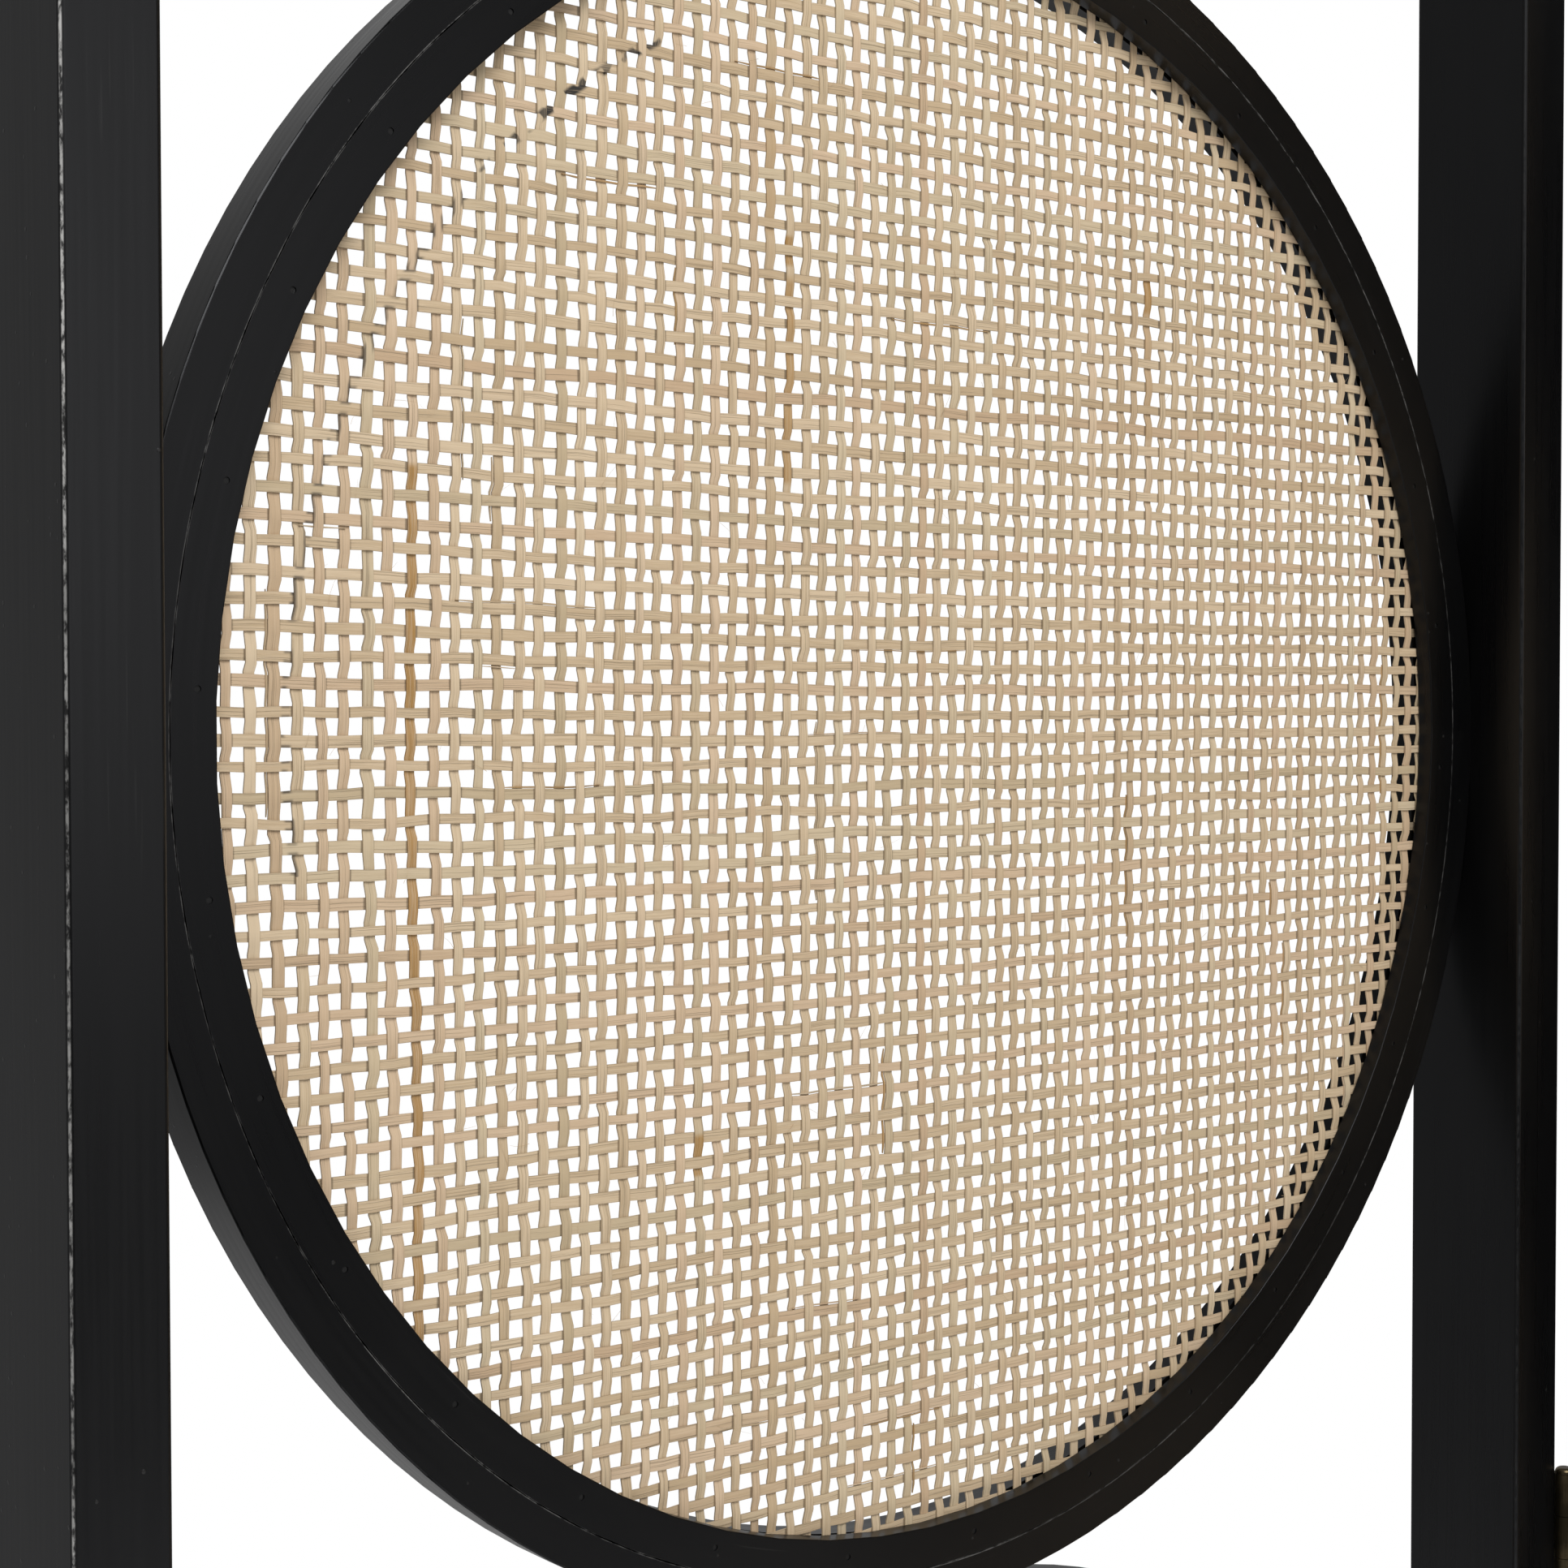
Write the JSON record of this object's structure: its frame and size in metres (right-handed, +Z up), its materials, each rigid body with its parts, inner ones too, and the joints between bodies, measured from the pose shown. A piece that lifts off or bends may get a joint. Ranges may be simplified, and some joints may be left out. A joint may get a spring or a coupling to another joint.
{
  "type": "folding partition screen",
  "caption": "Free-standing folding screen of hinged wooden panels, each with stacked hoops that hold discs of woven cane, to divide a room or shield part of it from view.",
  "frame": {"origin": "on the floor, under the middle of the middle panel, which is also the middle of the screen's footprint", "axes": "+X to the right along the screen, +Y away from the viewer, +Z up"},
  "size_m": [1.2492, 0.3046, 1.8],
  "materials": {
    "black_wood": "satin black stain",
    "cane": "natural, matt",
    "brass": "dark antique",
    "steel": "plain",
    "dowel_wood": "bare"
  },
  "bodies": {
    "left_panel": {"left_panel_left_post": "black_wood", "left_panel_right_post": "black_wood", "left_panel_bottom_rail": "black_wood", "left_panel_top_rail": "black_wood", "left_panel_hoop_1": "black_wood", "left_panel_cane_1": "cane", "left_panel_hoop_2": "black_wood", "left_panel_cane_2": "cane", "left_panel_hoop_3": "black_wood", "left_panel_cane_3": "cane", "left_panel_hoop_4": "black_wood", "left_panel_cane_4": "cane", "left_panel_retaining_rings": "black_wood", "left_panel_brads": "steel", "left_panel_dowels": "dowel_wood", "left_hinge_outer_leaves": "brass", "left_hinge_outer_screws": "brass", "left_hinge_pins": "brass"},
    "middle_panel": {"middle_panel_left_post": "black_wood", "middle_panel_right_post": "black_wood", "middle_panel_bottom_rail": "black_wood", "middle_panel_top_rail": "black_wood", "middle_panel_hoop_1": "black_wood", "middle_panel_cane_1": "cane", "middle_panel_hoop_2": "black_wood", "middle_panel_cane_2": "cane", "middle_panel_hoop_3": "black_wood", "middle_panel_cane_3": "cane", "middle_panel_hoop_4": "black_wood", "middle_panel_cane_4": "cane", "middle_panel_retaining_rings": "black_wood", "middle_panel_brads": "steel", "middle_panel_dowels": "dowel_wood", "left_hinge_inner_leaves": "brass", "left_hinge_inner_screws": "brass", "right_hinge_inner_leaves": "brass", "right_hinge_inner_screws": "brass"},
    "right_panel": {"right_panel_left_post": "black_wood", "right_panel_right_post": "black_wood", "right_panel_bottom_rail": "black_wood", "right_panel_top_rail": "black_wood", "right_panel_hoop_1": "black_wood", "right_panel_cane_1": "cane", "right_panel_hoop_2": "black_wood", "right_panel_cane_2": "cane", "right_panel_hoop_3": "black_wood", "right_panel_cane_3": "cane", "right_panel_hoop_4": "black_wood", "right_panel_cane_4": "cane", "right_panel_retaining_rings": "black_wood", "right_panel_brads": "steel", "right_panel_dowels": "dowel_wood", "right_hinge_outer_leaves": "brass", "right_hinge_outer_screws": "brass", "right_hinge_pins": "brass"}
  },
  "joints": [
    {"name": "left_fold", "type": "hinge", "parent": "middle_panel", "child": "left_panel", "pos_m": [-0.20927, 0.12078, 0], "axis": [0, 0, 1], "range_deg": [-70, 110]},
    {"name": "right_fold", "type": "hinge", "parent": "middle_panel", "child": "right_panel", "pos_m": [0.20927, -0.12078, 0], "axis": [0, 0, 1], "range_deg": [-70, 110]}
  ]
}
